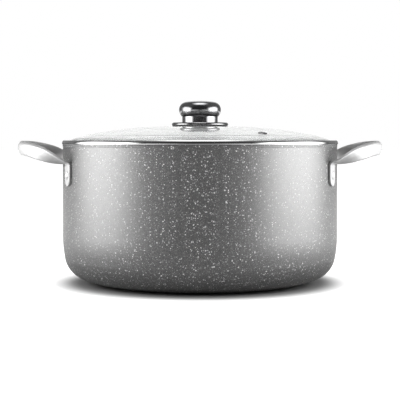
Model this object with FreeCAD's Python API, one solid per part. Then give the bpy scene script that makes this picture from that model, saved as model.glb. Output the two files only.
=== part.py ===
import FreeCAD, Part
import math
import os

# Non-stick stockpot with two riveted loop handles and a domed glass lid.
# Millimetres, +Z up. The origin is the centre of the base, on the surface it stands on.
# The handles point along -X and +X, and the front of the pot is -Y.

V = FreeCAD.Vector
ORIGIN = V(0, 0, 0)
UP = V(0, 0, 1)

# Pot body, one forging with a coat inside and out
pot_radius = 150.0
rim_height = 151.2
wall_thickness = 3.0
base_thickness = 5.0
side_curve_start = 51.9
side_curve_radius = 123.0
corner_radius = 28.6
base_curve_radius = 102.0
base_flat_inset = 55.5
inner_corner_radius = 25.5
rim_bead_height = 2.6
rim_bead_bulge = 0.3
rim_edge_round = 0.5
base_recess_inset = 9.0
base_recess_depth = 0.4
turned_ring_count = 4
turned_ring_pitch = 14.0
turned_ring_width = 2.0
turned_ring_depth = 0.4

# Loop handles, forged steel: flat feet on the wall, twisted legs and a thick grip
foot_angle = 23.4
foot_below_rivet = 11.6
foot_above_rivet = 9.5
foot_width = 16.0
foot_thickness = 2.4
foot_bed = 0.35
foot_bend_radius = 4.5
handle_projection = 49.9
leg_start_slope = 14.8
grip_below_rim = 3.85
grip_width = 16.2
grip_thickness = 5.3
grip_top_bevel = 4.8
grip_bottom_bevel = 5.0
grip_top_round = 1.1
grip_bottom_round = 2.6
strap_edge_round = 0.6
twist_length = 45.0
swell_length = 79.0
skew_length = 35.0
leg_stations = 11
bend_stations = 3
station_crowding = 1.5

# Handle rivets
rivet_below_rim = 32.3
rivet_shank_radius = 2.5
rivet_head_overlap = 2.0
rivet_head_height = 1.9
rivet_head_edge = 0.4
rivet_tail_overlap = 2.5
rivet_tail_height = 1.3
rivet_clearance = 0.05

# Glass lid
glass_thickness = 3.4
glass_edge_gap = 0.2
dome_rise = 15.9
crown_flat_margin = 3.0
shoulder_inset = 24.0
shoulder_height = 6.2
brim_inset = 6.0
glass_hole_margin = 3.0

# Steel rim band round the glass
band_sheet = 0.45
band_overhang = 0.45
band_lip_gap = 0.3
band_top_round = 1.3
band_bottom_round = 0.7
skirt_clearance = 0.8
skirt_depth = 5.0

# Steam vent in the glass
vent_inset = 32.5
vent_angle = -57.1
vent_hole_radius = 3.0
vent_tube_clearance = 0.1
vent_tube_wall = 1.0
vent_flange_overlap = 1.9
vent_flange_height = 0.9
vent_mouth_height = 0.5
vent_roll_overlap = 0.9
vent_roll_height = 0.5
vent_washer_overlap = 2.0
vent_washer_thickness = 0.6
vent_seat_gap = 0.04

# Knob above the glass
flange_radius = 31.0
flange_thickness = 4.3
flange_sheet = 1.2
flange_seat_width = 3.4
neck_radius = 19.6
neck_height = 6.5
neck_wall = 1.2
cap_mouth_step = 0.5
cap_bulge = 2.95
cap_widest_height = 7.6
cap_height = 17.3
cap_crown_radius = 110.0
cap_wall = 1.2
core_clearance = 0.05
core_top_gap = 2.5
core_top_chamfer = 3.5
insert_wall = 1.65
insert_length = 11.0

# Screw stack through the glass
screw_radius = 2.5
screw_clearance = 0.3
thread_clearance = 0.05
screw_engagement = 9.0
screw_tip_chamfer = 0.6
screw_head_overlap = 2.1
screw_head_height = 3.2
screw_head_round = 1.4
screw_slot_width = 1.2
screw_slot_depth = 1.5
screw_washer_overlap = 0.3
screw_washer_thickness = 1.0
screw_washer_split = 1.0
lower_gasket_radius = 18.0
lower_gasket_thickness = 0.8
gasket_sleeve_clearance = 0.1
under_cap_seat_margin = 1.8
under_cap_lip = 2.2
under_cap_step = 0.8
under_cap_edge = 1.2
under_cap_depth = 3.6
under_cap_belly = 0.35
under_cap_recess_margin = 2.6
under_cap_recess_depth = 1.4

# Places on the wall and on the glass
rivet_height = rim_height - rivet_below_rim
foot_bottom = rivet_height - foot_below_rivet
foot_bend_start = rivet_height + foot_above_rivet
grip_height = rim_height - grip_below_rim
handle_reach = pot_radius + handle_projection
crown_flat_radius = flange_radius + crown_flat_margin
shoulder_start_radius = pot_radius - shoulder_inset
brim_inner_radius = pot_radius - brim_inset
vent_distance = pot_radius - vent_inset

# Radii of what lies round a bore, a shank or a screw
rivet_head_radius = rivet_shank_radius + rivet_head_overlap
rivet_tail_radius = rivet_shank_radius + rivet_tail_overlap
vent_bore_radius = vent_hole_radius - vent_tube_clearance - vent_tube_wall
vent_flange_radius = vent_hole_radius + vent_flange_overlap
vent_roll_radius = vent_hole_radius + vent_roll_overlap
vent_washer_radius = vent_hole_radius + vent_washer_overlap
cap_mouth_radius = neck_radius + cap_mouth_step
cap_widest_radius = cap_mouth_radius + cap_bulge
insert_radius = screw_radius + thread_clearance + insert_wall
glass_knob_hole_radius = screw_radius + glass_hole_margin
screw_head_radius = screw_radius + screw_head_overlap
screw_washer_radius = screw_head_radius + screw_washer_overlap
under_cap_recess_radius = screw_washer_radius + under_cap_recess_margin
under_cap_seat_radius = lower_gasket_radius + under_cap_seat_margin
under_cap_radius = under_cap_seat_radius + under_cap_lip

# Heights of the lid's parts, stacked on the pot's rim
brim_bottom = rim_height + band_sheet
brim_top = brim_bottom + glass_thickness
crown_top = brim_top + dome_rise
crown_bottom = crown_top - glass_thickness
neck_bottom = crown_top + flange_thickness
cap_bottom = neck_bottom + neck_height
under_cap_top = crown_bottom - lower_gasket_thickness


def at(r, z):
    """A point of a turned outline, at radius r and height z."""
    return V(r, 0, z)


def line(a, b):
    return Part.LineSegment(at(*a), at(*b)).toShape()


def polar(centre, radius, degrees):
    """A point on a circle, with its angle measured from straight outward, upward positive."""
    a = math.radians(degrees)
    return (centre[0] + radius * math.cos(a), centre[1] + radius * math.sin(a))


def arc(centre, radius, start, end):
    points = [polar(centre, radius, degrees) for degrees in (start, (start + end) / 2, end)]
    return Part.Arc(*[at(*point) for point in points]).toShape()


def arc_through(a, b, c):
    return Part.Arc(at(*a), at(*b), at(*c)).toShape()


def polyline(points):
    return [line(a, b) for a, b in zip(points, points[1:])]


def turned(edges):
    """The solid that a closed outline sweeps round the vertical axis."""
    face = Part.Face(Part.Wire(edges))
    return face.revolve(ORIGIN, UP, 360)


def ring(inner, outer, low, high):
    body = Part.makeCylinder(outer, high - low, V(0, 0, low))
    return body.cut(Part.makeCylinder(inner, high - low, V(0, 0, low)))


def direction(a, b):
    """The angle in degrees of the way from a to b."""
    return math.degrees(math.atan2(b[1] - a[1], b[0] - a[0]))


def meet_circles(a, ra, b, rb):
    """The crossing of two circles that lies on the right of the way from a to b."""
    span = math.dist(a, b)
    along = (ra ** 2 - rb ** 2 + span ** 2) / (2 * span)
    aside = math.sqrt(ra ** 2 - along ** 2)
    ux, uz = (b[0] - a[0]) / span, (b[1] - a[1]) / span
    return (a[0] + along * ux + aside * uz, a[1] + along * uz - aside * ux)


def rivet_places():
    """The four places on the wall, as angles round the pot, by handle."""
    return {"left": (180 - foot_angle, 180 + foot_angle), "right": (-foot_angle, foot_angle)}


def radial_cylinder(radius, start, end, degrees, height):
    """A cylinder along the pot's radius, between two distances from the axis."""
    a = math.radians(degrees)
    outward = V(math.cos(a), math.sin(a), 0)
    return Part.makeCylinder(radius, end - start, outward * start + V(0, 0, height), outward)


def pot_outline():
    """The wall, the soft lower side, the corner and the base as arcs that run into each other."""
    inner_radius = pot_radius - wall_thickness
    base_flat_radius = pot_radius - base_flat_inset
    side_centre = (pot_radius - side_curve_radius, side_curve_start)
    base_centre = (base_flat_radius, base_curve_radius)
    corner_centre = meet_circles(side_centre, side_curve_radius - corner_radius,
                                 base_centre, base_curve_radius - corner_radius)
    base_end = direction(base_centre, corner_centre)
    side_end = direction(side_centre, corner_centre)

    inner_side_radius = side_curve_radius - wall_thickness
    reach = inner_side_radius - inner_corner_radius
    drop = side_curve_start - base_thickness - inner_corner_radius
    inner_centre = (side_centre[0] + math.sqrt(reach ** 2 - drop ** 2),
                    base_thickness + inner_corner_radius)
    inner_end = direction(side_centre, inner_centre)

    recess_radius = base_flat_radius - base_recess_inset
    bead_bottom = rim_height - rim_bead_height
    bead_bulge = (pot_radius + rim_bead_bulge, rim_height - rim_bead_height / 2)
    return [
        *polyline([(0, base_recess_depth), (recess_radius, base_recess_depth), (recess_radius, 0),
                   (base_flat_radius, 0)]),
        arc(base_centre, base_curve_radius, -90, base_end),
        arc(corner_centre, corner_radius, base_end, side_end),
        arc(side_centre, side_curve_radius, side_end, 0),
        line((pot_radius, side_curve_start), (pot_radius, bead_bottom)),
        arc_through((pot_radius, bead_bottom), bead_bulge, (pot_radius, rim_height)),
        line((pot_radius, rim_height), (inner_radius + rim_edge_round, rim_height)),
        arc((inner_radius + rim_edge_round, rim_height - rim_edge_round), rim_edge_round, 90, 180),
        line((inner_radius, rim_height - rim_edge_round), (inner_radius, side_curve_start)),
        arc(side_centre, inner_side_radius, 0, inner_end),
        arc(inner_centre, inner_corner_radius, inner_end, -90),
        *polyline([(inner_centre[0], base_thickness), (0, base_thickness), (0, base_recess_depth)]),
    ]


def pot_body():
    body = turned(pot_outline())
    outermost = pot_radius - base_flat_inset - base_recess_inset - turned_ring_pitch / 2
    for index in range(turned_ring_count):
        outer = outermost - index * turned_ring_pitch
        groove = ring(outer - turned_ring_width, outer, base_recess_depth,
                      base_recess_depth + turned_ring_depth)
        body = body.cut(groove)
    for pair in rivet_places().values():
        for degrees in pair:
            body = body.cut(wall_hole_tools(degrees))
    return body


def wall_hole_tools(degrees):
    """What is cut from the wall for a rivet: its hole and a flat seat for its tail."""
    inner_seat = pot_radius - wall_thickness
    start = inner_seat - wall_thickness
    hole = radial_cylinder(rivet_shank_radius + rivet_clearance, start, pot_radius + wall_thickness,
                           degrees, rivet_height)
    seat = radial_cylinder(rivet_tail_radius + rivet_clearance, start, inner_seat, degrees,
                           rivet_height)
    return [hole, seat]


def smooth(x):
    """A soft step from 0 to 1."""
    x = min(max(x, 0.0), 1.0)
    return x * x * (3 - 2 * x)


def mix(a, b, share):
    return a * (1 - share) + b * share


def rounded_outline(corners):
    """The points of a closed outline. A corner is a point, a radius and the steps of its round."""
    points = []
    for index, (corner, radius, steps) in enumerate(corners):
        back = (corners[index - 1][0] - corner).normalize()
        ahead = (corners[(index + 1) % len(corners)][0] - corner).normalize()
        half = back.getAngle(ahead) / 2
        turn = math.pi - 2 * half
        middle = corner + (back + ahead).normalize() * (radius / math.sin(half))
        start = corner + back * (radius / math.tan(half)) - middle
        end = corner + ahead * (radius / math.tan(half)) - middle
        for step in range(steps + 1):
            share = step / steps
            points.append(middle + start * (math.sin((1 - share) * turn) / math.sin(turn))
                          + end * (math.sin(share * turn) / math.sin(turn)))
    return points


def strap_section(centre, across, face, fullness):
    """The strap's section: a flat bar at the foot, and a bevelled grip where fullness is 1."""
    width = mix(foot_width, grip_width, fullness)
    thickness = mix(foot_thickness + foot_bed, grip_thickness, fullness)
    lower = -width / 2 + grip_bottom_bevel * fullness
    upper = width / 2 - grip_top_bevel * fullness

    def corner(w, t):
        return centre + across * w + face * t

    points = rounded_outline([
        (corner(-width / 2, -thickness / 2), strap_edge_round, 1),
        (corner(lower, thickness / 2), mix(strap_edge_round, grip_bottom_round, fullness), 3),
        (corner(upper, thickness / 2), mix(strap_edge_round, grip_top_round, fullness), 2),
        (corner(width / 2, -thickness / 2), strap_edge_round, 1),
    ])
    return Part.makePolygon(points + points[:1])


def foot_frame():
    """The near right foot: its middle, level with the base, its direction across the strap
    and the way its outer face looks."""
    a = math.radians(foot_angle)
    outward = V(math.cos(a), -math.sin(a), 0)
    middle = outward * (pot_radius + (foot_thickness - foot_bed) / 2)
    return middle, V(-math.sin(a), -math.cos(a), 0), outward


def strap_line():
    """Points along the strap's middle and its directions there, from the top of the near foot
    through the bend and up the leg to the tip of the grip. They crowd towards the bend."""
    slope = math.radians(leg_start_slope)
    turn = math.pi / 2 - slope
    top = foot_frame()[0] + V(0, 0, foot_bend_start)
    leg_start = top + V(1 - math.cos(turn), 0, math.sin(turn)) * foot_bend_radius
    span_x = handle_reach - grip_thickness / 2 - leg_start.x
    span_y = -leg_start.y
    rise = grip_height - leg_start.z
    steepness = math.tan(slope) * span_x / rise
    line_points = []
    for index in range(bend_stations):
        a = turn * index / bend_stations
        point = top + V(1 - math.cos(a), 0, math.sin(a)) * foot_bend_radius
        line_points.append((point, V(math.sin(a), 0, math.cos(a))))
    for index in range(leg_stations + 1):
        a = math.pi / 2 * (index / leg_stations) ** station_crowding
        out = math.sin(a)
        climb = steepness * out + (3 - 2 * steepness) * out ** 2 + (steepness - 2) * out ** 3
        climbing = steepness + 2 * (3 - 2 * steepness) * out + 3 * (steepness - 2) * out ** 2
        point = leg_start + V(span_x * out, span_y * (1 - math.cos(a)), rise * climb)
        way = V(span_x * math.cos(a), span_y * math.sin(a), rise * climbing * math.cos(a))
        line_points.append((point, way.normalize()))
    return line_points


def strap_stations():
    """Where the strap's sections stand from the top of the near foot to the tip: each has its
    centre, its direction across, the way its outer face looks and its fullness. On the way the
    strap turns level with its path, twists a quarter turn, so that it stands on edge, and
    swells to the full grip."""
    _, foot_across, _ = foot_frame()
    stations = []
    travelled = 0.0
    previous = None
    for centre, way in strap_line():
        if previous:
            travelled += centre.distanceToPoint(previous)
        previous = centre
        level = V(way.y, -way.x, 0)
        if level.Length > 0:
            level.normalize()
        across = mix(foot_across, level, smooth(travelled / skew_length))
        across = (across - way * across.dot(way)).normalize()
        fullness = smooth(travelled / swell_length)
        twist = math.pi / 2 * smooth(travelled / twist_length)
        across = across * math.cos(twist) - way.cross(across) * math.sin(twist)
        stations.append((centre, across, way.cross(across), fullness))
    return stations


def mirrored(vector):
    return V(vector.x, -vector.y, vector.z)


def right_handle():
    near = strap_stations()
    far = [(mirrored(centre), mirrored(across), mirrored(face), fullness)
           for centre, across, face, fullness in reversed(near[:-1])]
    strap = Part.makeLoft([strap_section(*station) for station in near + far], True, False)
    drop = UP * (foot_bottom - foot_bend_start)
    feet = [Part.Face(strap_section(*station)).extrude(drop) for station in (near[0], far[-1])]
    strap = strap.fuse(feet).cut(Part.makeCylinder(pot_radius, rim_height))
    for degrees in rivet_places()["right"]:
        hole = radial_cylinder(rivet_shank_radius + rivet_clearance, pot_radius - wall_thickness,
                               pot_radius + 3 * foot_thickness, degrees, rivet_height)
        strap = strap.cut([foot_end_tool(degrees), hole])
    return strap


def foot_end_tool(degrees):
    """What is cut from the foot's lower end to leave it full round."""
    end_radius = foot_width / 2
    deep = 4 * foot_thickness
    block = Part.makeBox(deep, 2 * foot_width, 2 * end_radius,
                         V(pot_radius - deep / 2, -foot_width, foot_bottom - end_radius))
    block.rotate(ORIGIN, UP, degrees)
    return block.cut(radial_cylinder(end_radius, pot_radius - deep, pot_radius + deep, degrees,
                                     foot_bottom + end_radius))


def handle(side):
    shape = right_handle()
    if side == "left":
        shape = shape.mirror(ORIGIN, V(1, 0, 0))
    return shape


def rivet(degrees):
    """A rivet through the foot and the wall: a domed head outside and a flat tail inside."""
    outer_seat = pot_radius + foot_thickness
    inner_seat = pot_radius - wall_thickness
    tail_end = inner_seat - rivet_tail_height
    dome = rivet_head_height - rivet_head_edge
    dome_sphere_radius = (rivet_head_radius ** 2 + dome ** 2) / (2 * dome)
    sphere_centre = (0, outer_seat + rivet_head_height - dome_sphere_radius)
    dome_start = (rivet_head_radius, outer_seat + rivet_head_edge)
    body = turned([
        *polyline([(0, tail_end), (rivet_tail_radius, tail_end), (rivet_tail_radius, inner_seat),
                   (rivet_shank_radius, inner_seat), (rivet_shank_radius, outer_seat),
                   (rivet_head_radius, outer_seat), dome_start]),
        arc(sphere_centre, dome_sphere_radius, direction(sphere_centre, dome_start), 90),
        line((0, outer_seat + rivet_head_height), (0, tail_end)),
    ])
    body.rotate(ORIGIN, V(0, 1, 0), 90)
    body.rotate(ORIGIN, UP, degrees)
    body.translate(V(0, 0, rivet_height))
    return body


def handle_rivets(side):
    return Part.makeCompound([rivet(degrees) for degrees in rivet_places()[side]])


def dome_arc():
    """Centre and radius of the dome's arc, level at the edge of the flat crown."""
    run = shoulder_start_radius - crown_flat_radius
    drop = dome_rise - shoulder_height
    radius = (run ** 2 + drop ** 2) / (2 * drop)
    return (crown_flat_radius, crown_top - radius), radius


def dome_angle(radius):
    """The angle, seen from the dome's centre, of the glass at this distance from the axis."""
    return math.degrees(math.acos((radius - crown_flat_radius) / dome_arc()[1]))


def shoulder():
    """Centre, radius and start and end angles of the arc between the dome and the brim."""
    start_angle = dome_angle(shoulder_start_radius)
    start = polar(*dome_arc(), start_angle)
    end = (brim_inner_radius, brim_top)
    chord = math.dist(start, end)
    tangent = start_angle - 90
    off_tangent = tangent - direction(start, end)
    radius = chord / (2 * math.sin(math.radians(off_tangent)))
    centre = polar(start, radius, start_angle + 180)
    return centre, radius, start_angle, direction(centre, end)


def lid_glass():
    outer_radius = pot_radius + band_overhang - band_sheet - glass_edge_gap
    dome_centre, dome_radius = dome_arc()
    centre, radius, start, end = shoulder()
    inner_radius = radius - glass_thickness
    brim_drop = centre[1] - brim_bottom
    inner_end = -math.degrees(math.asin(brim_drop / inner_radius))
    inner_join = polar(centre, inner_radius, inner_end)
    body = turned([
        line((glass_knob_hole_radius, crown_bottom), (glass_knob_hole_radius, crown_top)),
        line((glass_knob_hole_radius, crown_top), (crown_flat_radius, crown_top)),
        arc(dome_centre, dome_radius, 90, start),
        arc(centre, radius, start, end),
        *polyline([(brim_inner_radius, brim_top), (outer_radius, brim_top),
                   (outer_radius, brim_bottom), inner_join]),
        arc(centre, inner_radius, inner_end, start),
        arc(dome_centre, dome_radius - glass_thickness, start, 90),
        line((crown_flat_radius, crown_bottom), (glass_knob_hole_radius, crown_bottom)),
    ])
    hole = Part.makeCylinder(vent_hole_radius, 4 * glass_thickness, V(0, 0, -2 * glass_thickness))
    return body.cut(place_vent(hole))


def place_vent(shape):
    """Move a piece of the vent, made upright with the glass's top at 0, to its place."""
    angle = dome_angle(vent_distance)
    seat = polar(*dome_arc(), angle)
    shape.rotate(ORIGIN, V(0, 1, 0), 90 - angle)
    shape.translate(at(*seat))
    shape.rotate(ORIGIN, UP, vent_angle)
    return shape


def lid_rim_band():
    outer = pot_radius + band_overhang
    inner = outer - band_sheet
    skirt_outer = pot_radius - wall_thickness - skirt_clearance
    skirt_inner = skirt_outer - band_sheet
    lip = brim_inner_radius + band_lip_gap
    top = brim_top + band_sheet
    skirt_bottom = rim_height - skirt_depth
    top_centre = (outer - band_top_round, top - band_top_round)
    bottom_centre = (outer - band_bottom_round, rim_height + band_bottom_round)
    return turned([
        line((lip, brim_top), (lip, top)),
        line((lip, top), (outer - band_top_round, top)),
        arc(top_centre, band_top_round, 90, 0),
        line((outer, top - band_top_round), (outer, rim_height + band_bottom_round)),
        arc(bottom_centre, band_bottom_round, 0, -90),
        *polyline([(outer - band_bottom_round, rim_height), (skirt_outer, rim_height),
                   (skirt_outer, skirt_bottom), (skirt_inner, skirt_bottom),
                   (skirt_inner, brim_bottom), (inner, brim_bottom), (inner, brim_top),
                   (lip, brim_top)]),
    ])


def vent_eyelet():
    tube = vent_hole_radius - vent_tube_clearance
    washer_bottom = -glass_thickness - vent_seat_gap - vent_washer_thickness
    bottom = washer_bottom - vent_roll_height
    crest = ((vent_bore_radius + vent_flange_radius) / 2, vent_flange_height)
    shape = turned([
        line((vent_bore_radius, bottom), (vent_bore_radius, vent_mouth_height)),
        arc_through((vent_bore_radius, vent_mouth_height), crest, (vent_flange_radius, 0)),
        *polyline([(vent_flange_radius, 0), (tube, 0), (tube, washer_bottom),
                   (vent_roll_radius, washer_bottom), (vent_roll_radius - vent_roll_height, bottom),
                   (vent_bore_radius, bottom)]),
    ])
    return place_vent(shape)


def vent_washer():
    top = -glass_thickness - vent_seat_gap
    return place_vent(ring(vent_hole_radius, vent_washer_radius, top - vent_washer_thickness, top))


def knob_flange():
    edge = flange_thickness / 2
    hollow_radius = flange_radius - edge - flange_seat_width
    hole = screw_radius + screw_clearance
    plate_bottom = neck_bottom - flange_sheet
    return turned([
        *polyline([(hole, plate_bottom), (hole, neck_bottom), (flange_radius - edge, neck_bottom)]),
        arc((flange_radius - edge, crown_top + edge), edge, 90, -90),
        *polyline([(flange_radius - edge, crown_top), (hollow_radius, crown_top),
                   (hollow_radius, plate_bottom), (hole, plate_bottom)]),
    ])


def upper_gasket():
    hollow_radius = flange_radius - flange_thickness / 2 - flange_seat_width
    return ring(screw_radius + screw_clearance, hollow_radius - gasket_sleeve_clearance,
                crown_top, neck_bottom - flange_sheet)


def knob_neck():
    return ring(neck_radius - neck_wall, neck_radius, neck_bottom, cap_bottom)


def cap_arcs():
    """Centres and radii of the cap's side, shoulder and crown, each tangent to the next."""
    widest = cap_bottom + cap_widest_height
    crown_centre = (0, cap_bottom + cap_height - cap_crown_radius)
    drop = widest - crown_centre[1]
    round_radius = ((cap_crown_radius ** 2 - cap_widest_radius ** 2 - drop ** 2)
                    / (2 * (cap_crown_radius - cap_widest_radius)))
    tuck = cap_widest_radius - cap_mouth_radius
    side_radius = (tuck ** 2 + cap_widest_height ** 2) / (2 * tuck)
    return ((cap_widest_radius - side_radius, widest), side_radius,
            (cap_widest_radius - round_radius, widest), round_radius, crown_centre)


def knob_cap():
    side_centre, side_radius, round_centre, round_radius, crown_centre = cap_arcs()
    mouth = direction(side_centre, (cap_mouth_radius, cap_bottom))
    top = direction(crown_centre, round_centre)
    inner_mouth = -math.degrees(math.asin(cap_widest_height / (side_radius - cap_wall)))
    crown_inside = crown_centre[1] + cap_crown_radius - cap_wall
    return turned([
        arc(side_centre, side_radius, mouth, 0),
        arc(round_centre, round_radius, 0, top),
        arc(crown_centre, cap_crown_radius, top, 90),
        line((0, crown_inside + cap_wall), (0, crown_inside)),
        arc(crown_centre, cap_crown_radius - cap_wall, 90, top),
        arc(round_centre, round_radius - cap_wall, top, 0),
        arc(side_centre, side_radius - cap_wall, 0, inner_mouth),
        line(polar(side_centre, side_radius - cap_wall, inner_mouth), (cap_mouth_radius, cap_bottom)),
    ])


def knob_core():
    """The core fills the neck, and a step on it clamps the neck under the cap's mouth."""
    side_centre, side_radius = cap_arcs()[:2]
    reach = math.sqrt((side_radius - cap_wall) ** 2 - cap_widest_height ** 2)
    mouth = side_centre[0] + reach - core_clearance
    neck = neck_radius - neck_wall - core_clearance
    top = cap_bottom + cap_height - cap_wall - core_top_gap
    bore = insert_radius + core_clearance
    insert_top = neck_bottom + insert_length + core_clearance
    return turned(polyline([
        (bore, neck_bottom), (neck, neck_bottom), (neck, cap_bottom), (mouth, cap_bottom),
        (mouth, top - core_top_chamfer), (mouth - core_top_chamfer, top), (0, top),
        (0, insert_top), (bore, insert_top), (bore, neck_bottom),
    ]))


def knob_insert():
    bore = screw_radius + thread_clearance
    return ring(bore, insert_radius, neck_bottom, neck_bottom + insert_length)


def lower_gasket():
    """A flat ring under the glass with a sleeve that lines the hole in the glass."""
    hole = screw_radius + screw_clearance
    sleeve = glass_knob_hole_radius - gasket_sleeve_clearance
    return turned(polyline([
        (hole, under_cap_top), (lower_gasket_radius, under_cap_top),
        (lower_gasket_radius, crown_bottom), (sleeve, crown_bottom), (sleeve, crown_top),
        (hole, crown_top), (hole, under_cap_top),
    ]))


def under_cap():
    """A dished steel washer that spreads the screw's pull under the glass."""
    hole = screw_radius + screw_clearance
    top = under_cap_top
    edge_top = top - under_cap_step
    edge_round = under_cap_edge / 2
    edge_start = under_cap_radius - edge_round
    edge_bottom = edge_top - under_cap_edge
    bottom = top - under_cap_depth
    floor = bottom + under_cap_recess_depth
    belly = ((edge_start + under_cap_recess_radius) / 2, mix(bottom, edge_bottom, under_cap_belly))
    return turned([
        *polyline([(hole, floor), (hole, top), (under_cap_seat_radius, top),
                   (under_cap_seat_radius, edge_top), (edge_start, edge_top)]),
        arc((edge_start, edge_top - edge_round), edge_round, 90, -90),
        arc_through((edge_start, edge_bottom), belly, (under_cap_recess_radius, bottom)),
        *polyline([(under_cap_recess_radius, bottom), (under_cap_recess_radius, floor),
                   (hole, floor)]),
    ])


def screw_levels():
    """Heights of the washer's seat, of the screw head's seat and of the screw's tip."""
    washer_top = under_cap_top - under_cap_depth + under_cap_recess_depth
    head_top = washer_top - screw_washer_thickness
    return washer_top, head_top, neck_bottom + screw_engagement


def screw_washer():
    washer_top, head_top, _ = screw_levels()
    washer = ring(screw_radius + screw_clearance, screw_washer_radius, head_top, washer_top)
    split = Part.makeBox(2 * screw_washer_radius, screw_washer_split, 2 * screw_washer_thickness,
                         V(0, -screw_washer_split / 2, head_top - screw_washer_thickness / 2))
    return washer.cut(split)


def knob_screw():
    """A pan-head screw with a cross slot, head down."""
    _, head_top, tip = screw_levels()
    head_bottom = head_top - screw_head_height
    head_edge = screw_head_radius - screw_head_round
    body = turned([
        line((0, tip), (0, head_bottom)),
        line((0, head_bottom), (head_edge, head_bottom)),
        arc((head_edge, head_bottom + screw_head_round), screw_head_round, -90, 0),
        *polyline([(screw_head_radius, head_bottom + screw_head_round), (screw_head_radius, head_top),
                   (screw_radius, head_top), (screw_radius, tip - screw_tip_chamfer),
                   (screw_radius - screw_tip_chamfer, tip), (0, tip)]),
    ])
    for turn in (0, 90):
        slot = Part.makeBox(screw_head_radius, screw_slot_width, 2 * screw_slot_depth,
                            V(-screw_head_radius / 2, -screw_slot_width / 2,
                              head_bottom - screw_slot_depth))
        slot.rotate(ORIGIN, UP, turn)
        body = body.cut(slot)
    return body


NODES = {
    "pot_body": pot_body,
    "handle_left": lambda: handle("left"),
    "handle_right": lambda: handle("right"),
    "left_handle_rivets": lambda: handle_rivets("left"),
    "right_handle_rivets": lambda: handle_rivets("right"),
    "lid_glass": lid_glass,
    "lid_rim_band": lid_rim_band,
    "vent_eyelet": vent_eyelet,
    "vent_washer": vent_washer,
    "knob_flange": knob_flange,
    "upper_gasket": upper_gasket,
    "knob_neck": knob_neck,
    "knob_cap": knob_cap,
    "knob_core": knob_core,
    "knob_insert": knob_insert,
    "lower_gasket": lower_gasket,
    "under_cap": under_cap,
    "screw_washer": screw_washer,
    "knob_screw": knob_screw,
}

os.makedirs("parts", exist_ok=True)
for name, make in NODES.items():
    shape = make()
    box = shape.optimalBoundingBox()
    print(f"{name}: valid {shape.isValid()}, solids {len(shape.Solids)}, volume {shape.Volume:.0f}, "
          f"x {box.XMin:.1f}..{box.XMax:.1f}, y {box.YMin:.1f}..{box.YMax:.1f}, "
          f"z {box.ZMin:.2f}..{box.ZMax:.2f}")
    shape.exportStep(f"parts/{name}.step")
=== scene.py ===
# %% [markdown]
# A non-stick stockpot, photographed from the front on a white table.
# The pot is forged aluminium with a dark granite-effect coat. Two bright steel loops are riveted
# to its wall, and a glass lid with a steel rim and a dark chrome knob rests on it.
# The shapes come from the construction model. This script gives each piece its finish, builds the
# loops and the lid's rim band anew with soft edges, and sets up the studio and the camera.

import math

import bpy
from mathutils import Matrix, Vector


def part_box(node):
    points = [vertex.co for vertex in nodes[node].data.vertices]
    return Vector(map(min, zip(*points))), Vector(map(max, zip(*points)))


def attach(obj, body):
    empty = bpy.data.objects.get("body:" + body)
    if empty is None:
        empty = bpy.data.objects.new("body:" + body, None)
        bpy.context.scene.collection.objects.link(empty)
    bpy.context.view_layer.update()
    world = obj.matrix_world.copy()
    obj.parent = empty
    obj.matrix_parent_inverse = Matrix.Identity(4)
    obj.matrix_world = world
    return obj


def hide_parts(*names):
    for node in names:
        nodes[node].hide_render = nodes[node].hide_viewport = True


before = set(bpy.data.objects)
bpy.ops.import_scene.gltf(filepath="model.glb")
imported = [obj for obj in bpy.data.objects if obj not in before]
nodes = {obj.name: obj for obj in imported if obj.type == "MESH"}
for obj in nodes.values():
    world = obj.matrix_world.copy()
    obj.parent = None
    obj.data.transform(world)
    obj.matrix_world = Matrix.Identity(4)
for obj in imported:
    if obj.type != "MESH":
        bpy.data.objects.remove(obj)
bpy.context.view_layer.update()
pot_low, pot_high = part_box("pot_body")
band_low, band_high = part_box("lid_rim_band")
print("pieces:", len(nodes), "height of the pot:", round(pot_high[2] - pot_low[2], 4))

# %% [markdown]
# Every finish starts from one Principled BSDF. It holds the plain numbers, such as how metallic
# and how rough the surface is, on its own sockets. Anything that changes over the surface comes
# in through a link from other nodes. A few short helpers add those nodes and join them up.

# %% Helpers for sockets and finishes
def feed(tree, socket, source):
    """Links another node's output to a socket, or sets it to a plain number, colour or vector."""
    if isinstance(source, bpy.types.NodeSocket):
        tree.links.new(source, socket)
    else:
        socket.default_value = source


def feed_all(tree, node, **sources):
    """Feeds the named sockets of a node. A name has _ where the socket's has a space."""
    for name, source in sources.items():
        feed(tree, node.inputs[name.replace("_", " ")], source)


def new_finish(name, **values):
    """Makes a material with one Principled BSDF and sets the named sockets."""
    material = bpy.data.materials.new(name)
    material.use_nodes = True
    shader = material.node_tree.nodes["Principled BSDF"]
    feed_all(material.node_tree, shader, **values)
    return material, material.node_tree, shader


def grey(level):
    return (level, level, level, 1.0)


def paint(material, *names):
    """Gives the named pieces of the construction model this one finish."""
    for name in names:
        slots = nodes[name].data.materials
        slots.clear()
        slots.append(material)
    print(material.name, "on", ", ".join(names))


print("a middle grey is", grey(0.5))

# %% Helpers for nodes
def add_node(tree, kind, **sources):
    """Adds a shader node, such as TexNoise, and feeds its named sockets."""
    node = tree.nodes.new(f"ShaderNode{kind}")
    feed_all(tree, node, **sources)
    return node


def object_place(tree):
    """Where a point lies on the object, in metres."""
    return tree.nodes.new("ShaderNodeTexCoord").outputs["Object"]


def ramp(tree, value, starts, ends, low=0.0, high=1.0, soft=False):
    """Goes from low to high as the value goes from starts to ends, with round ends if soft."""
    node = add_node(tree, "MapRange", Value=value, From_Min=starts, From_Max=ends,
                    To_Min=low, To_Max=high)
    if soft:
        node.interpolation_type = "SMOOTHSTEP"
    return node.outputs["Result"]


print("helpers for nodes:", add_node.__name__, object_place.__name__, ramp.__name__)

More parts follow.
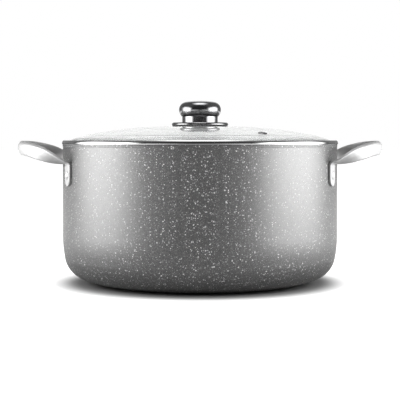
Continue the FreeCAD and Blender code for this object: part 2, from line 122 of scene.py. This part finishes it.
# %% [markdown]
# Several finishes need the same effects. Each effect is a node group with named inputs, built once
# and placed in each material with its own values. A group only puts out values and normals.
# The first effect is handling marks: faint cloudy patches where a cloth or a hand has changed the
# shine. A noise makes the clouds, and they set how rough the surface is.

# %% The handling marks group
CLOUD_DETAIL = 5.0
CLOUD_SWIRL = 0.6
CLOUD_STARTS, CLOUD_FULL = 0.35, 0.72


def new_group(name, inputs, outputs):
    """A node group. An input whose value is None is a vector, and the others are numbers."""
    group = bpy.data.node_groups.new(name, "ShaderNodeTree")
    for title, value in inputs.items():
        kind = "NodeSocketVector" if value is None else "NodeSocketFloat"
        socket = group.interface.new_socket(title, in_out="INPUT", socket_type=kind)
        if value is not None:
            socket.default_value = value
    for title, kind in outputs.items():
        group.interface.new_socket(title, in_out="OUTPUT", socket_type=kind)
    given = group.nodes.new("NodeGroupInput").outputs
    results = group.nodes.new("NodeGroupOutput").inputs
    return group, given, results


def place_group(tree, group, **values):
    """Puts a group in a material, over the object's own coordinates and with its own values."""
    node = tree.nodes.new("ShaderNodeGroup")
    node.node_tree = group
    feed_all(tree, node, Place=object_place(tree), **values)
    return node.outputs


def handling_marks_group():
    group, given, results = new_group(
        "handling_marks", {"Place": None, "Scale": 25.0, "Clean": 0.1, "Marked": 0.2},
        {"Roughness": "NodeSocketFloat"})
    clouds = add_node(group, "TexNoise", Vector=given["Place"], Scale=given["Scale"],
                      Detail=CLOUD_DETAIL, Distortion=CLOUD_SWIRL)
    feed(group, results["Roughness"],
         ramp(group, clouds.outputs["Fac"], CLOUD_STARTS, CLOUD_FULL, given["Clean"],
              given["Marked"]))
    return group


handling_marks = handling_marks_group()


def marked_finish(name, scale, clean, marked, **values):
    """A finish whose roughness is clean outside the handling marks and marked inside them."""
    material, tree, shader = new_finish(name, **values)
    marks = place_group(tree, handling_marks, Scale=scale, Clean=clean, Marked=marked)
    feed(tree, shader.inputs["Roughness"], marks["Roughness"])
    return material


print("group:", handling_marks.name)

# %% [markdown]
# The second shared effect is the fine lines that turning or polishing leaves round the axis of a
# spun piece. They depend only on the distance from the axis and on the height, so a noise that
# reads those two numbers draws rings, and a Bump node turns them into a normal.

# %% The polishing rings group
RING_DETAIL = 2.0


def calculate_vector(tree, operation, *sources):
    """A Vector Math node. A length or a dot product comes out as one number."""
    node = tree.nodes.new("ShaderNodeVectorMath")
    node.operation = operation
    for socket, source in zip(node.inputs, sources):
        feed(tree, socket, source)
    return node.outputs["Value" if operation in ("LENGTH", "DOT_PRODUCT") else "Vector"]


def polishing_rings_group():
    group, given, results = new_group(
        "polishing_rings", {"Place": None, "Scale": 3000.0, "Strength": 0.1, "Depth": 0.00002},
        {"Normal": "NodeSocketVector"})
    height = add_node(group, "SeparateXYZ", Vector=given["Place"]).outputs["Z"]
    flat = calculate_vector(group, "MULTIPLY", given["Place"], (1.0, 1.0, 0.0))
    profile = add_node(group, "CombineXYZ", X=calculate_vector(group, "LENGTH", flat), Y=height)
    lines = add_node(group, "TexNoise", Vector=profile.outputs["Vector"], Scale=given["Scale"],
                     Detail=RING_DETAIL)
    bump = add_node(group, "Bump", Height=lines.outputs["Fac"], Strength=given["Strength"],
                    Distance=given["Depth"])
    feed(group, results["Normal"], bump.outputs["Normal"])
    return group


polishing_rings = polishing_rings_group()


def add_polishing_rings(material, scale, strength, depth):
    tree = material.node_tree
    rings = place_group(tree, polishing_rings, Scale=scale, Strength=strength, Depth=depth)
    feed(tree, tree.nodes["Principled BSDF"].inputs["Normal"], rings["Normal"])


print("group:", polishing_rings.name)

# %% [markdown]
# The coat is sprayed on in layers: a dark grey ground with fine grey grain, then spatters of pale
# flecks of two sizes. The whole coat is satin, and the flecks are duller than the ground. A Voronoi
# texture gives one random point to each small cell. A fleck is drawn round the point where the
# cell's random colour says so, and a noise shifts the place first, so that the flecks come out
# ragged and not round.

# %% The spatter group
WOBBLE_SCALE = 900.0
WOBBLE_DETAIL = 3.0
SMALLEST_SHARE = 0.35


def calculate(tree, operation, *sources):
    """A Math node on these numbers."""
    node = tree.nodes.new("ShaderNodeMath")
    node.operation = operation
    for socket, source in zip(node.inputs, sources):
        feed(tree, socket, source)
    return node.outputs["Value"]


def spatter_group():
    group, given, results = new_group(
        "spatter", {"Place": None, "Cells": 150.0, "Share": 0.5, "Size": 0.1, "Ragged": 0.0006},
        {"Mask": "NodeSocketFloat"})
    wobble = add_node(group, "TexNoise", Vector=given["Place"], Scale=WOBBLE_SCALE,
                      Detail=WOBBLE_DETAIL)
    centred = calculate_vector(group, "SUBTRACT", wobble.outputs["Color"], (0.5, 0.5, 0.5))
    pushed = calculate_vector(group, "MULTIPLY", centred, given["Ragged"])
    shifted = calculate_vector(group, "ADD", given["Place"], pushed)
    cells = add_node(group, "TexVoronoi", Vector=shifted, Scale=given["Cells"]).outputs
    chance = add_node(group, "SeparateColor", Color=cells["Color"]).outputs
    size_share = ramp(group, chance["Red"], 0.0, 1.0, SMALLEST_SHARE, 1.0)
    radius = calculate(group, "MULTIPLY", size_share, given["Size"])
    inside = calculate(group, "LESS_THAN", cells["Distance"], radius)
    chosen = calculate(group, "LESS_THAN", chance["Green"], given["Share"])
    feed(group, results["Mask"], calculate(group, "MULTIPLY", inside, chosen))
    return group


spatter = spatter_group()
print("group:", spatter.name)

# %% The granite-effect coat
GROUND, GRAIN = grey(0.026), grey(0.115)
GRAIN_SCALE, GRAIN_DETAIL = 1100.0, 4.0
GRAIN_STARTS, GRAIN_FULL = 0.42, 0.66
COAT_ROUGHNESS, FLECK_ROUGHNESS = 0.40, 0.80
COAT_IOR = 2.05
PEEL_SCALE, PEEL_DETAIL = 700.0, 2.0
PEEL_STRENGTH, PEEL_DEPTH = 0.25, 0.00005
# One spatter a row: cells in a metre, the share of the cells that hold a fleck, the fleck's radius
# in cells, how far its edge is pushed about in metres, and its colour.
SPATTERS = (
    (850.0, 0.6, 0.36, 0.0018, grey(0.4)),
    (500.0, 0.42, 0.33, 0.0026, grey(0.92)),
)
# A Mix node has three sets of sockets with the same names. These are the ones for colours.
COLOUR_BELOW, COLOUR_ABOVE, COLOUR_RESULT = 6, 7, 2


def mix_colours(tree, mask, below, above):
    """Lays a colour over another where the mask is 1. Each is a colour or a socket."""
    mix_node = tree.nodes.new("ShaderNodeMix")
    mix_node.data_type = "RGBA"
    feed(tree, mix_node.inputs["Factor"], mask)
    feed(tree, mix_node.inputs[COLOUR_BELOW], below)
    feed(tree, mix_node.inputs[COLOUR_ABOVE], above)
    return mix_node.outputs[COLOUR_RESULT]


def granite_coat():
    material, tree, shader = new_finish("granite_coat", IOR=COAT_IOR)
    place = object_place(tree)
    grain = add_node(tree, "TexNoise", Vector=place, Scale=GRAIN_SCALE, Detail=GRAIN_DETAIL)
    grain_mask = ramp(tree, grain.outputs["Fac"], GRAIN_STARTS, GRAIN_FULL)
    colour = mix_colours(tree, grain_mask, GROUND, GRAIN)
    roughness = COAT_ROUGHNESS
    for cells, share, size, ragged, fleck in SPATTERS:
        flecks = place_group(tree, spatter, Cells=cells, Share=share, Size=size, Ragged=ragged)
        colour = mix_colours(tree, flecks["Mask"], colour, fleck)
        roughness = ramp(tree, flecks["Mask"], 0.0, 1.0, roughness, FLECK_ROUGHNESS)
    peel = add_node(tree, "TexNoise", Vector=place, Scale=PEEL_SCALE, Detail=PEEL_DETAIL)
    bump = add_node(tree, "Bump", Height=peel.outputs["Fac"], Strength=PEEL_STRENGTH,
                    Distance=PEEL_DEPTH)
    feed_all(tree, shader, Base_Color=colour, Roughness=roughness, Normal=bump.outputs["Normal"])
    return material


paint(granite_coat(), "pot_body")

# %% [markdown]
# The loops and their rivets are satin stainless steel. Steel has no colour of its own: it shows
# what stands round it. Full metallic, a middle grey and a high roughness blur the softboxes into
# soft greys. The rim band and the knob are polished, so their roughness is low, and the knob's
# chrome is dark. Most of the glass lets light through and is clear, with a trace of marks. The
# rest is a pale milky veil that the clear real lid doesn't have: painted brightness that lightens
# the glass under the lamps.

# %% Steel, chrome and glass
SATIN_STEEL = grey(0.46)
BRIGHT_STEEL = grey(0.55)
DARK_CHROME = (0.22, 0.22, 0.224, 1.0)
GLASS_TINT_AND_PAINTED_VEIL = (0.975, 0.988, 0.982, 1.0)

steel = marked_finish("polished_steel", scale=45.0, clean=0.58, marked=0.63,
                      Base_Color=SATIN_STEEL, Metallic=1.0)
rim_steel = marked_finish("rim_steel", scale=30.0, clean=0.08, marked=0.14,
                          Base_Color=BRIGHT_STEEL, Metallic=1.0)
chrome = marked_finish("dark_chrome", scale=60.0, clean=0.17, marked=0.21,
                       Base_Color=DARK_CHROME, Metallic=1.0)
add_polishing_rings(chrome, scale=4000.0, strength=0.05, depth=0.000004)
# Only 0.88 of the glass lets light through. The rest is a pale veil, painted brightness on the clear
# lid.
glass = marked_finish("lid_glass", scale=18.0, clean=0.0, marked=0.012, Roughness=0.0,
                      Base_Color=GLASS_TINT_AND_PAINTED_VEIL, IOR=1.38, Transmission_Weight=0.88)
paint(steel, "left_handle_rivets", "right_handle_rivets")
paint(chrome, "knob_cap", "knob_neck", "knob_flange", "under_cap", "vent_eyelet", "vent_washer")
paint(glass, "lid_glass")

# %% [markdown]
# The gaskets, the screw with its washer, the insert and the knob's core hardly show, but the lid
# comes apart on a bench. So each has the plain finish of its own material, with the same size of
# handling marks on all of them.

# %% The hidden pieces
HIDDEN_MARKS = 80.0
DARK_PLASTIC = grey(0.03)
BRASS = (0.72, 0.53, 0.25, 1.0)

silicone = marked_finish("silicone", HIDDEN_MARKS, clean=0.5, marked=0.65, Base_Color=DARK_PLASTIC)
plain_steel = marked_finish("plain_steel", HIDDEN_MARKS, clean=0.25, marked=0.4,
                            Base_Color=BRIGHT_STEEL, Metallic=1.0)
brass = marked_finish("brass", HIDDEN_MARKS, clean=0.2, marked=0.35, Base_Color=BRASS, Metallic=1.0)
moulded_core = marked_finish("moulded_core", HIDDEN_MARKS, clean=0.4, marked=0.55,
                             Base_Color=DARK_PLASTIC)
paint(silicone, "upper_gasket", "lower_gasket")
paint(plain_steel, "screw_washer", "knob_screw")
paint(brass, "knob_insert")
paint(moulded_core, "knob_core")

# %% [markdown]
# Each loop is one strip of forged steel. It lies flat on the wall at its feet, bends outward, turns
# on edge along each leg and swells to a crowned grip. Blender could bend a plain bar with a curve
# modifier, but the section changes all the way, so the loop is swept here: a section with soft
# corners is placed at many stations along half of the loop, and the other half is its mirror image.

# %% The loop's sizes
FOOT_ANGLE = math.radians(23.4)
FOOT_BOTTOM = 0.1073
FOOT_BEND_START = 0.1284
FOOT_WIDTH = 0.016
FOOT_THICKNESS = 0.0024
FOOT_BED = 0.00035
FOOT_CROWN = 0.0001
FOOT_BEND_RADIUS = 0.0045
WALL_RADIUS = 0.150
LEG_START_SLOPE = math.radians(14.8)
GRIP_HEIGHT = 0.14735
GRIP_REACH = 0.1999
GRIP_WIDTH = 0.0162
GRIP_THICKNESS = 0.0053
GRIP_LEAN = math.radians(3)
TWIST_LENGTH = 0.045
SWELL_LENGTH = 0.079
SKEW_LENGTH = 0.035
print("the loop reaches", GRIP_REACH, "from the axis")

# %% [markdown]
# The section is a polygon whose corners are rounded off. Each corner has one place and one round on
# the flat foot and another on the grip, and a station in between gets a mixture of the two. A long
# straight side also gets points of its own, so that the twisted faces stay small and shade evenly.

# %% The loop's section
CORNER_STEPS = 8
SIDE_STEPS = 4
LARGEST_CUT = 0.49
# One corner a row: its height and depth on the flat foot and on the grip, as shares of the half
# width and the half thickness, then the radius of its round on the foot and on the grip.
SECTION_CORNERS = (
    ((-0.9, -1.0), (-0.82, -1.0), 0.0005, 0.0020),
    ((-1.0, -0.9), (-1.0, -0.72), 0.0005, 0.0020),
    ((-1.01, 0.0), (-0.90, -0.12), 0.0060, 0.0035),
    ((-1.0, 1.0), (-0.66, 0.36), 0.0012, 0.0085),
    ((0.0, 1.0), (-0.14, 0.94), 0.0060, 0.0095),
    ((1.0, 1.0), (0.43, 0.92), 0.0012, 0.0070),
    ((1.01, 0.0), (0.80, 0.30), 0.0060, 0.0050),
    ((1.0, -0.9), (1.0, -0.60), 0.0005, 0.0020),
    ((0.9, -1.0), (0.84, -1.0), 0.0005, 0.0020),
)


def mix(low, high, share):
    return low * (1 - share) + high * share


def soft_step(x):
    x = min(max(x, 0.0), 1.0)
    return x * x * (3 - 2 * x)


def round_corner(back, corner, ahead, radius):
    """Points of the round in place of a corner. It takes LARGEST_CUT of a side at most."""
    to_back = (back - corner).normalized()
    to_ahead = (ahead - corner).normalized()
    half = to_back.angle(to_ahead) / 2
    shorter_side = min((back - corner).length, (ahead - corner).length)
    radius = min(radius, LARGEST_CUT * math.tan(half) * shorter_side)
    middle = corner + (to_back + to_ahead).normalized() * (radius / math.sin(half))
    start = corner + to_back * (radius / math.tan(half)) - middle
    end = corner + to_ahead * (radius / math.tan(half)) - middle
    turn = math.pi - 2 * half
    return [middle + start * (math.sin((1 - step / CORNER_STEPS) * turn) / math.sin(turn))
            + end * (math.sin(step / CORNER_STEPS * turn) / math.sin(turn))
            for step in range(CORNER_STEPS + 1)]


def section_corners(centre, across, face, fullness, width_share):
    """The section's corners and their rounds: the foot's at fullness 0 and the grip's at 1."""
    half_width = mix(FOOT_WIDTH, GRIP_WIDTH, fullness) * width_share / 2
    half_thickness = mix(FOOT_THICKNESS + FOOT_BED, GRIP_THICKNESS, fullness) / 2
    places, radii = [], []
    for foot, grip, foot_round, grip_round in SECTION_CORNERS:
        height = mix(foot[0], grip[0], fullness) * half_width
        depth = mix(foot[1], grip[1], fullness) * half_thickness
        if foot[0] == 0.0:
            depth += FOOT_CROWN
        places.append(centre + across * height + face * depth)
        radii.append(mix(foot_round, grip_round, fullness))
    return places, radii


def strap_section(*station):
    """The points of the section at one station, round by round and side by side."""
    places, radii = section_corners(*station)
    rounds = []
    for index, radius in enumerate(radii):
        ahead = places[(index + 1) % len(places)]
        rounds.append(round_corner(places[index - 1], places[index], ahead, radius))
    points = []
    for index, corner in enumerate(rounds):
        start, end = corner[-1], rounds[(index + 1) % len(rounds)][0]
        points += corner + [mix(start, end, step / SIDE_STEPS) for step in range(1, SIDE_STEPS)]
    return points


print("points in a section:", len(SECTION_CORNERS) * (CORNER_STEPS + SIDE_STEPS))

# %% [markdown]
# A station says where the middle of the strap is, which way its width and its outer face point,
# and how far it has swollen to the grip. The leg follows a quarter of an ellipse in plan. Its
# height follows a cubic, which leaves the bend at the bend's own slope and is level at the tip.

# %% The loop's line and stations
FOOT_END_STATIONS = 10
FOOT_STATIONS = 12
BEND_STATIONS = 14
LEG_STATIONS = 110
UP = Vector((0, 0, 1))
FOOT_OUT = Vector((math.cos(FOOT_ANGLE), -math.sin(FOOT_ANGLE), 0))
FOOT_ACROSS = Vector((-math.sin(FOOT_ANGLE), -math.cos(FOOT_ANGLE), 0))
FOOT_MIDDLE = FOOT_OUT * (WALL_RADIUS + (FOOT_THICKNESS - FOOT_BED) / 2)


def foot_stations():
    """The flat foot, from its half-round lower end up to the bend."""
    end_radius = FOOT_WIDTH / 2
    stations = []
    for index in range(1, FOOT_END_STATIONS):
        angle = math.pi / 2 * index / FOOT_END_STATIONS
        height = FOOT_BOTTOM + end_radius * (1 - math.cos(angle))
        stations.append((FOOT_MIDDLE + UP * height, FOOT_ACROSS, FOOT_OUT, 0.0, math.sin(angle)))
    straight = FOOT_BEND_START - FOOT_BOTTOM - end_radius
    for index in range(FOOT_STATIONS):
        height = FOOT_BOTTOM + end_radius + straight * index / FOOT_STATIONS
        stations.append((FOOT_MIDDLE + UP * height, FOOT_ACROSS, FOOT_OUT, 0.0, 1.0))
    return stations


def leg_line():
    """Points and directions along the middle of the strap, from the bend to the tip."""
    turn = math.pi / 2 - LEG_START_SLOPE
    top = FOOT_MIDDLE + UP * FOOT_BEND_START
    leg_start = top + Vector((1 - math.cos(turn), 0, math.sin(turn))) * FOOT_BEND_RADIUS
    span_x = GRIP_REACH - GRIP_THICKNESS / 2 - leg_start.x
    span_y = -leg_start.y
    rise = GRIP_HEIGHT - leg_start.z
    steepness = math.tan(LEG_START_SLOPE) * span_x / rise
    line = []
    for index in range(BEND_STATIONS):
        a = turn * index / BEND_STATIONS
        line.append((top + Vector((1 - math.cos(a), 0, math.sin(a))) * FOOT_BEND_RADIUS,
                     Vector((math.sin(a), 0, math.cos(a)))))
    for index in range(LEG_STATIONS + 1):
        a = math.pi / 2 * index / LEG_STATIONS
        out = math.sin(a)
        climb = steepness * out + (3 - 2 * steepness) * out ** 2 + (steepness - 2) * out ** 3
        climbing = steepness + 2 * (3 - 2 * steepness) * out + 3 * (steepness - 2) * out ** 2
        way = Vector((span_x * math.cos(a), span_y * math.sin(a), rise * climbing * math.cos(a)))
        line.append((leg_start + Vector((span_x * out, span_y * (1 - math.cos(a)), rise * climb)),
                     way.normalized()))
    return line


def leg_stations():
    """The strap turns level with its path, twists a quarter turn and swells to the grip."""
    stations = []
    travelled = 0.0
    previous = None
    for centre, way in leg_line():
        if previous is not None:
            travelled += (centre - previous).length
        previous = centre
        level = Vector((way.y, -way.x, 0))
        if level.length > 0:
            level.normalize()
        across = mix(FOOT_ACROSS, level, soft_step(travelled / SKEW_LENGTH))
        across = (across - way * across.dot(way)).normalized()
        twist = (math.pi / 2 + GRIP_LEAN) * soft_step(travelled / TWIST_LENGTH)
        across = across * math.cos(twist) - way.cross(across) * math.sin(twist)
        fullness = soft_step(travelled / SWELL_LENGTH)
        stations.append((centre, across, way.cross(across), fullness, 1.0))
    return stations


half_loop = foot_stations() + leg_stations()
print("stations in half a loop:", len(half_loop))

# %% The two loops
def add_mesh(name, points, faces):
    """A new object with these points and faces."""
    mesh = bpy.data.meshes.new(name)
    mesh.from_pydata(points, [], faces)
    thing = bpy.data.objects.new(name, mesh)
    bpy.context.collection.objects.link(thing)
    return thing


def add_piece(name, points, faces, material):
    """A piece of the pot with smooth faces and one finish."""
    piece = add_mesh(name, points, faces)
    piece.data.polygons.foreach_set("use_smooth", [True] * len(faces))
    piece.data.materials.append(material)
    print(name, "faces:", len(faces))
    return piece


def swept_loop(side):
    """A closed skin through the sections of both halves. side is 1 on the right, -1 on the left."""
    near = [strap_section(*station) for station in half_loop]
    far = [[Vector((p.x, -p.y, p.z)) for p in section] for section in reversed(near[:-1])]
    sections = near + far
    count = len(sections[0])
    points = [(side * p.x, p.y, p.z) for section in sections for p in section]
    faces = []
    for ring in range(len(sections) - 1):
        for index in range(count):
            following = (index + 1) % count
            a, b = ring * count + index, ring * count + following
            faces.append((a, b, b + count, a + count))
    faces.append(tuple(reversed(range(count))))
    faces.append(tuple(range(len(points) - count, len(points))))
    if side < 0:
        faces = [tuple(reversed(face)) for face in faces]
    return points, faces


for side_name, side in (("left", -1), ("right", 1)):
    points, faces = swept_loop(side)
    loop = add_piece(f"{side_name}_loop", points, faces, steel)
    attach(loop, "root")
    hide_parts(f"handle_{side_name}")

# %% [markdown]
# The band is a strip of thin steel rolled round the glass. Its outer side bulges a little above
# the pot and leans in towards the glass, so its lower half shows the softboxes and its upper half
# the dark studio. A turned shape like this is one outline, carried round the axis.

# %% The rim band
BAND_TURNS = 256
BAND_SHEET = 0.00045
LIP_RADIUS = 0.1443
SKIRT_RADIUS = 0.1462
SKIRT_DEPTH = 0.005
BULGE = 0.0006
BULGE_STEPS = 12
BULGE_TURN = math.radians(40)
BULGE_RISE = 0.0011
TOP_EDGE_WIDTH, TOP_EDGE_DROP = 0.0004, 0.00035
FOOT_EDGE_WIDTH, FOOT_EDGE_RISE = 0.00015, 0.0004
SEAT_INSET = 0.0001
SHARPEST_SMOOTH = math.radians(35)


def band_outline():
    """Radius and height of each corner, from the lip on the glass round the outside and back."""
    top = band_high[2]
    seat = band_low[2] + SKIRT_DEPTH
    outer = band_high[0]
    inner = outer - BAND_SHEET
    bulge_start = seat + BULGE_RISE
    bulge_radius = (top - TOP_EDGE_DROP - bulge_start) / math.sin(BULGE_TURN)
    bulge = []
    for step in range(BULGE_STEPS, -1, -1):
        turn = BULGE_TURN * step / BULGE_STEPS
        bulge.append((outer + BULGE - bulge_radius * (1 - math.cos(turn)),
                      bulge_start + bulge_radius * math.sin(turn)))
    lip = [(LIP_RADIUS, top - BAND_SHEET), (LIP_RADIUS, top), (bulge[0][0] - TOP_EDGE_WIDTH, top)]
    foot = [(outer + BULGE - FOOT_EDGE_WIDTH, seat + FOOT_EDGE_RISE), (outer - SEAT_INSET, seat)]
    skirt = [(SKIRT_RADIUS, seat), (SKIRT_RADIUS, band_low[2]),
             (SKIRT_RADIUS - BAND_SHEET, band_low[2]),
             (SKIRT_RADIUS - BAND_SHEET, seat + BAND_SHEET)]
    return lip + bulge + foot + skirt + [(inner, seat + BAND_SHEET), (inner, top - BAND_SHEET)]


def turned_skin(outline):
    """The outline carried round the axis, as a closed ring of faces."""
    count = len(outline)
    points, faces = [], []
    for step in range(BAND_TURNS):
        a = 2 * math.pi * step / BAND_TURNS
        points += [(radius * math.cos(a), radius * math.sin(a), height) for radius, height in outline]
        ahead = (step + 1) % BAND_TURNS * count
        for index in range(count):
            following = (index + 1) % count
            faces.append((step * count + index, ahead + index, ahead + following,
                          step * count + following))
    return points, faces


points, faces = turned_skin(band_outline())
band = add_piece("rim_band", points, faces, rim_steel)
band.data.set_sharp_from_angle(angle=SHARPEST_SMOOTH)
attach(band, "root")
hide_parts("lid_rim_band")

# %% [markdown]
# The table is white and only the shadow shows on it. Close to the pot it is a mid grey, darker
# than the real white table, which takes the lamps' shadow; the darker grey paints extra shade into
# that shadow and into the light the table throws back onto the pot. Further out it glows up to pure
# white for the camera and through the glass, so that it has no far edge and needs no more light on
# the pot. Where this glow fades out towards the pot, it paints the tight dark ring of the contact
# shadow round the base. Metal shows another glow, a painted pool of the softboxes' light, which
# grows towards the softboxes at the two sides.

# %% The white table
TABLE_SIZE = 30.0
TABLE_GAP = 0.00005
# A mid grey, darker than the real white table: it paints extra shade into the shadow and into the
# light thrown back onto the pot.
TABLE_PAINTED_SHADE_GREY = grey(0.36)
TABLE_ROUGHNESS = 0.9
# Each glow: where it starts and where it is full, in metres from the middle, and its two levels.
# The seen glow is left out close to the pot, which paints the tight dark ring of the contact shadow
# round the base.
SEEN_GLOW = (0.13, 0.175, 0.0, 1.0)
# The mirrored glow is a painted pool of the softboxes' light on the table, which only the metal
# shows.
MIRRORED_GLOW = (0.12, 0.60, 0.0, 1.5)


def white_table():
    bpy.ops.mesh.primitive_plane_add(size=TABLE_SIZE, location=(0.0, 0.0, pot_low[2] - TABLE_GAP))
    table = bpy.context.object
    table.name = "white_table"
    material, tree, shader = new_finish("white_table", Base_Color=TABLE_PAINTED_SHADE_GREY,
                                        Roughness=TABLE_ROUGHNESS, Specular_IOR_Level=0.0)
    place = object_place(tree)
    rays = tree.nodes.new("ShaderNodeLightPath").outputs
    seen = calculate(tree, "MAXIMUM", rays["Is Camera Ray"], rays["Is Transmission Ray"])
    distance = calculate_vector(tree, "LENGTH", place)
    seen_glow = calculate(tree, "MULTIPLY", seen, ramp(tree, distance, *SEEN_GLOW, soft=True))
    sideways = calculate(tree, "ABSOLUTE", add_node(tree, "SeparateXYZ", Vector=place).outputs["X"])
    mirrored_glow = calculate(tree, "MULTIPLY", rays["Is Glossy Ray"],
                              ramp(tree, sideways, *MIRRORED_GLOW, soft=True))
    feed_all(tree, shader, Emission_Color=grey(1.0),
             Emission_Strength=calculate(tree, "MAXIMUM", seen_glow, mirrored_glow))
    table.data.materials.append(material)
    print("table top at", round(table.location.z, 5))


white_table()

# %% [markdown]
# The world is the white wall behind. Light Path tells the camera's, the mirrors' and the glass's
# rays from the rest: they get pure white, and everything else gets a plain soft grey. The tent
# further down stands in front of it for the mirrors.

# %% The world
FILL_LEVEL = 0.3


def white_world():
    world = bpy.data.worlds.new("studio")
    bpy.context.scene.world = world
    world.use_nodes = True
    tree = world.node_tree
    rays = tree.nodes.new("ShaderNodeLightPath").outputs
    seen = calculate(tree, "MAXIMUM", rays["Is Camera Ray"], rays["Is Glossy Ray"])
    seen = calculate(tree, "MAXIMUM", seen, rays["Is Transmission Ray"])
    feed_all(tree, tree.nodes["Background"], Color=grey(1.0),
             Strength=ramp(tree, seen, 0.0, 1.0, FILL_LEVEL, 1.0))
    print("world fill:", FILL_LEVEL)


white_world()

# %% [markdown]
# A photographer lights such a pot with a large softbox at each side and one overhead. Here each is
# a pair: an area lamp at a plain level, which lights the colours, and near it a glowing card,
# which only reflections see. The card is brightest in the middle and fades to its edges, as a real
# softbox does, so its picture in the metal has soft ends. The front lamp has no card, so the metal
# stays dark in front, and the white card behind the pot has no lamp.

# %% Lamps and cards
def aim(thing, place, target, front):
    """Puts a lamp or a card in its place, with its front towards the target."""
    thing.location = place
    thing.rotation_euler = (Vector(target) - Vector(place)).to_track_quat(front, "Y").to_euler()


def softbox_lamp(name, place, target, size, power):
    """An area lamp that lights the colours and doesn't show in mirrors."""
    data = bpy.data.lights.new(name, "AREA")
    data.shape = "RECTANGLE"
    data.size, data.size_y = size
    data.energy = power
    lamp = bpy.data.objects.new(name, data)
    aim(lamp, place, target, "-Z")
    lamp.visible_glossy = False
    bpy.context.collection.objects.link(lamp)
    print(name, "power", power)


def dress_card(card):
    """Makes an object a glowing card, out of the picture, that shows only in reflections."""
    material, tree, shader = new_finish(card.name, Base_Color=grey(0.0), Specular_IOR_Level=0.0,
                                        Emission_Color=grey(1.0))
    card.data.materials.append(material)
    card.visible_camera = False
    card.visible_diffuse = False
    card.visible_transmission = False
    card.visible_shadow = False
    return tree, shader


def fade_to_edge(tree, distance, half_size, fade):
    """1 in the middle of a card and 0 at its edge, over this share of its half size."""
    along = calculate(tree, "ABSOLUTE", distance)
    return ramp(tree, along, half_size * (1 - fade), half_size, 1.0, 0.0, soft=True)


def softbox_card(name, place, target, size, level, fades):
    """A card that glows at this level in the middle. The two fades are across and upward."""
    half_width, half_height = size[0] / 2, size[1] / 2
    corners = [(x * half_width, y * half_height, 0.0)
               for x, y in ((-1, -1), (1, -1), (1, 1), (-1, 1))]
    card = add_mesh(name, corners, [(0, 1, 2, 3)])
    aim(card, place, target, "Z")
    tree, shader = dress_card(card)
    spot = add_node(tree, "SeparateXYZ", Vector=object_place(tree)).outputs
    across = fade_to_edge(tree, spot["X"], half_width, fades[0])
    upward = fade_to_edge(tree, spot["Y"], half_height, fades[1])
    brightness = calculate(tree, "MULTIPLY", across, upward)
    feed_all(tree, shader, Emission_Strength=calculate(tree, "MULTIPLY", brightness, level))
    print(name, "level", level)


print("helpers for the studio:", softbox_lamp.__name__, softbox_card.__name__)

# %% The softboxes
POT_MIDDLE = (0, 0, 0.1)
SIDE_LAMP_SIZE, SIDE_LAMP_POWER = (0.9, 0.5), 5.0
SIDE_CARD_FADES = (0.8, 0.85)
TOP_PLACE, TOP_TARGET = (0, -0.02, 1.25), (0, -0.02, 0.2)

softbox_lamp("left_lamp", (-1.0, -0.2, 0.5), POT_MIDDLE, SIDE_LAMP_SIZE, SIDE_LAMP_POWER)
softbox_card("left_softbox", (-0.75, -0.20, 0.20), (0, -0.20, 0.20), size=(1.21, 0.98), level=7.8,
             fades=SIDE_CARD_FADES)
softbox_lamp("right_lamp", (1.0, -0.2, 0.5), POT_MIDDLE, SIDE_LAMP_SIZE, SIDE_LAMP_POWER)
softbox_card("right_softbox", (0.75, -0.21, 0.20), (0, -0.21, 0.20), size=(1.39, 0.98), level=8.1,
             fades=SIDE_CARD_FADES)
softbox_lamp("front_lamp", (0, -1.7, 1.1), POT_MIDDLE, size=(1.4, 0.8), power=13.0)
softbox_lamp("top_lamp", TOP_PLACE, TOP_TARGET, size=(0.8, 0.8), power=12.0)
softbox_card("top_softbox", TOP_PLACE, TOP_TARGET, size=(1.12, 1.0), level=5.2, fades=(0.85, 0.8))
softbox_card("white_backdrop", (0, 1.3, 0.55), (0, 0, 0.55), size=(0.95, 1.5), level=1.0,
             fades=(0.4, 0.3))

# %% [markdown]
# What the metal shows between the softboxes is the studio itself: dim paper at the sides, above
# and behind, and nearly dark where the photographer stands. One large tent of paper does for all
# of it. Its brightness follows the compass direction, with a soft step between the two levels.

# %% The tent
TENT_RADIUS = 2.2
TENT_CENTRE = 0.19
TENT_SEGMENTS, TENT_RINGS = 48, 24
FRONT_LEVEL, SIDE_LEVEL = 0.06, 0.28
FRONT_STARTS, FRONT_FULL = 0.15, 0.78


def paper_tent():
    """A sphere whose glow falls as the share of the front direction grows."""
    bpy.ops.mesh.primitive_uv_sphere_add(radius=TENT_RADIUS, segments=TENT_SEGMENTS,
                                         ring_count=TENT_RINGS)
    tent = bpy.context.object
    tent.name = "paper_tent"
    tent.location.z = TENT_CENTRE
    tree, shader = dress_card(tent)
    front_share = calculate_vector(tree, "DOT_PRODUCT", object_place(tree),
                                   (0.0, -1.0 / TENT_RADIUS, 0.0))
    level = ramp(tree, front_share, FRONT_STARTS, FRONT_FULL, SIDE_LEVEL, FRONT_LEVEL, soft=True)
    feed_all(tree, shader, Emission_Strength=level)
    print("tent levels:", FRONT_LEVEL, "in front,", SIDE_LEVEL, "elsewhere")


paper_tent()

# %% [markdown]
# The camera stands level, a little above the pot's rim, with a long lens. Its film is shifted
# down instead of tilting the camera, which keeps the pot's walls upright.

# %% The camera
CAMERA_DISTANCE = 1.3216
EYE_HEIGHT = 0.15707
LENS = 108.0
FILM_WIDTH = 36.0
FILM_SHIFT = -0.1525

camera_data = bpy.data.cameras.new("camera")
camera_data.lens = LENS
camera_data.sensor_width = FILM_WIDTH
camera_data.shift_y = FILM_SHIFT
camera = bpy.data.objects.new("camera", camera_data)
camera.location = (0.0, -CAMERA_DISTANCE, EYE_HEIGHT)
camera.rotation_euler = (math.pi / 2, 0.0, 0.0)
bpy.context.collection.objects.link(camera)
bpy.context.scene.camera = camera
bpy.context.scene.view_settings.view_transform = "Standard"
print("camera at", tuple(round(value, 4) for value in camera.location))
